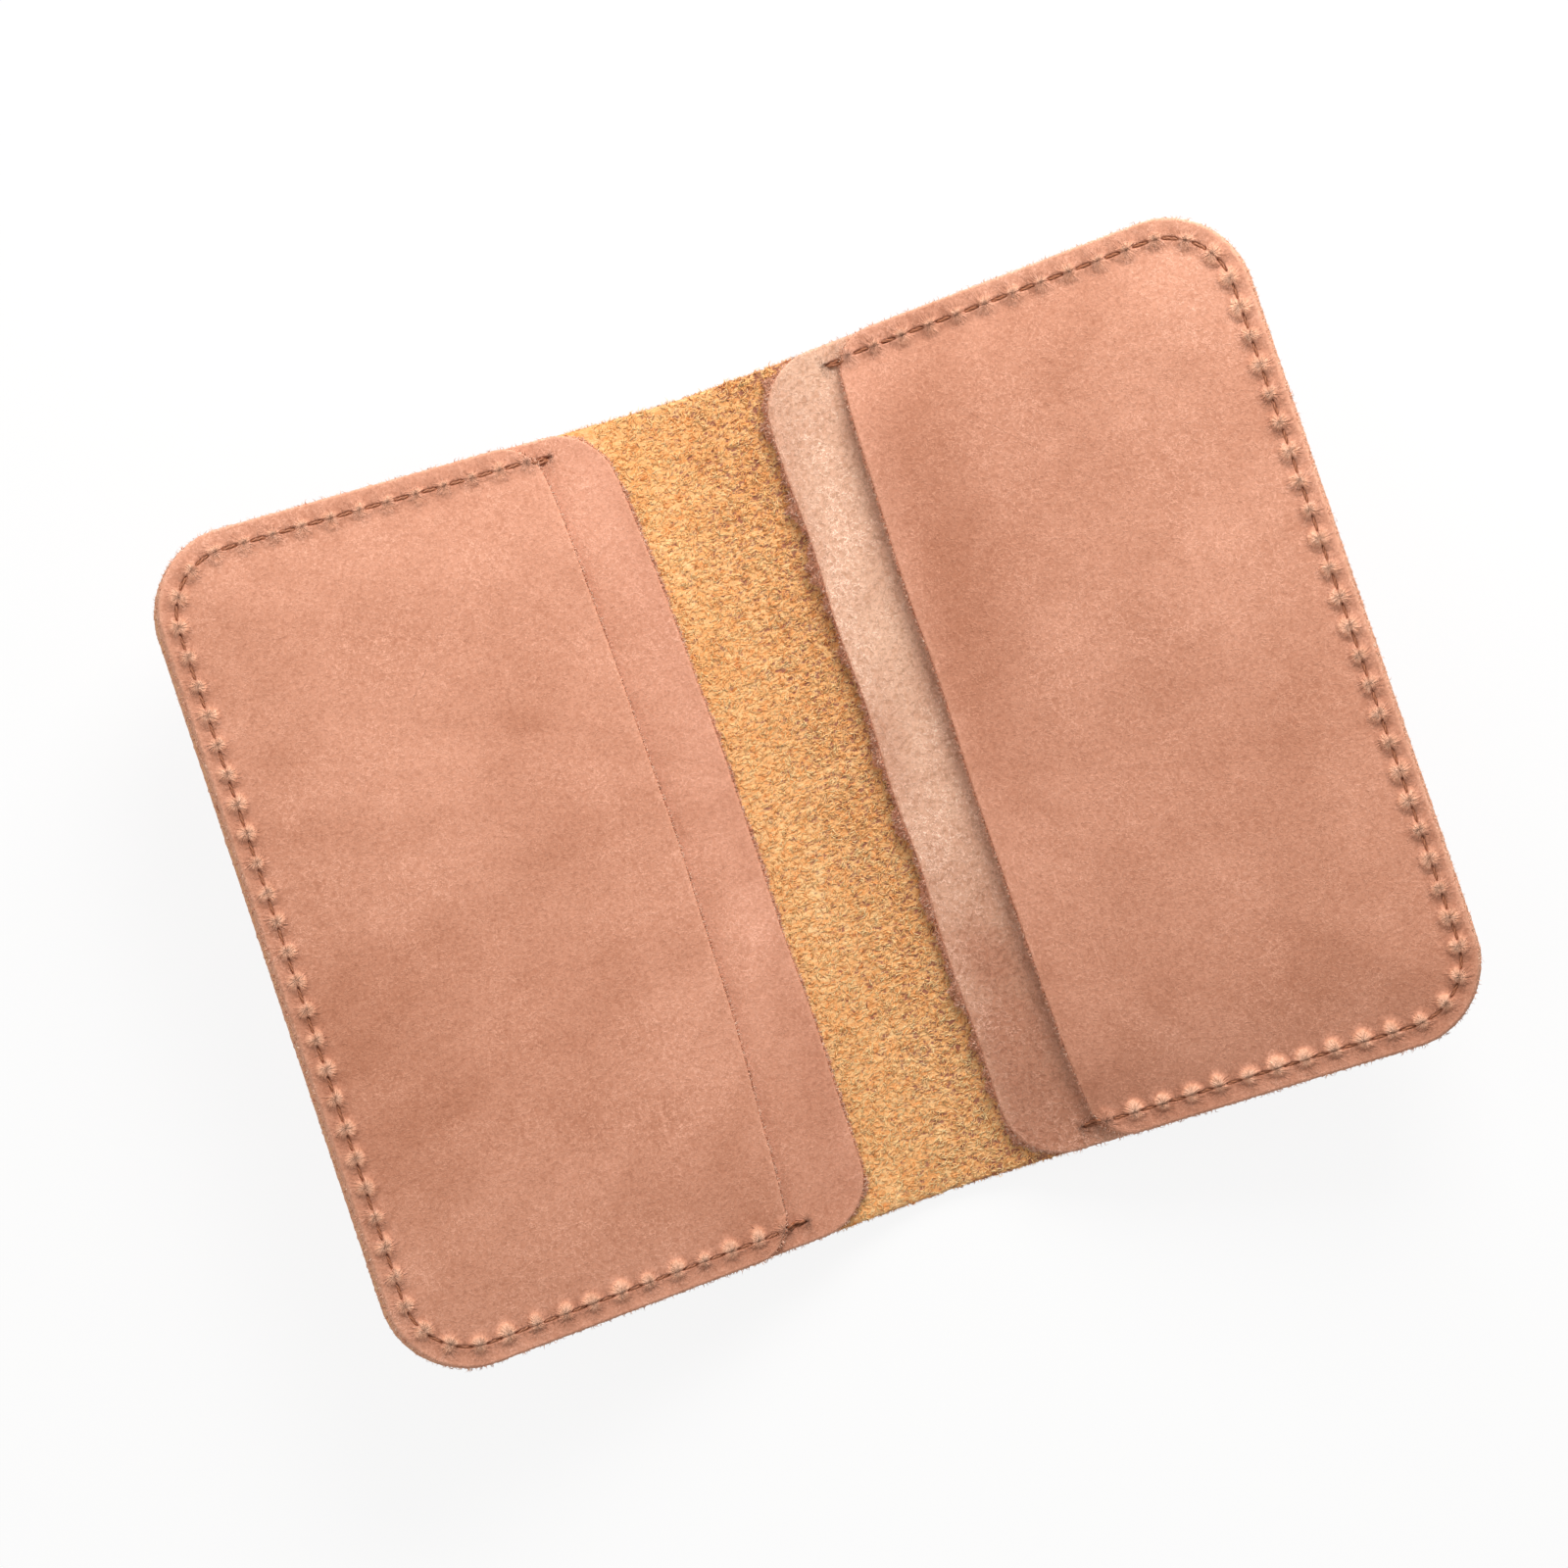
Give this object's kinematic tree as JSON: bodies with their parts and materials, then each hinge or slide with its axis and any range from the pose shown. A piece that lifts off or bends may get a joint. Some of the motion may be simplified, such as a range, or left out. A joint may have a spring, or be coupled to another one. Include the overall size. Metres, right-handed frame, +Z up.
{
  "type": "card holder",
  "caption": "Bifold leather card holder, two stacked card pockets on each half, saddle-stitched round three sides, standing half open.",
  "frame": {"origin": "middle of the spine's underside, on which the half-open holder stands", "axes": "+X across the halves towards the right one, +Y along the folds, +Z up, out of the open holder"},
  "size_m": [0.1324, 0.1, 0.0235],
  "materials": {
    "cover_leather": "oiled grain outside, ochre flesh side inside",
    "pocket_leather": "oiled, softly clouded",
    "waxed_thread": "waxed, twisted"
  },
  "bodies": {
    "spine": {"cover_spine": "cover_leather"},
    "left_half": {"cover_left_half": "cover_leather", "left_back_pocket": "pocket_leather", "left_front_pocket": "pocket_leather", "left_seam_thread": "waxed_thread"},
    "right_half": {"cover_right_half": "cover_leather", "right_back_pocket": "pocket_leather", "right_front_pocket": "pocket_leather", "right_seam_thread": "waxed_thread"}
  },
  "joints": [
    {"name": "left_fold", "type": "hinge", "parent": "spine", "child": "left_half", "pos_m": [-0.0045, 0, 0.0016], "axis": [0, 1, 0], "range_deg": [-17.5, 72.5]},
    {"name": "right_fold", "type": "hinge", "parent": "spine", "child": "right_half", "pos_m": [0.0045, 0, 0.0016], "axis": [0, -1, 0], "range_deg": [-17.5, 72.5]}
  ]
}
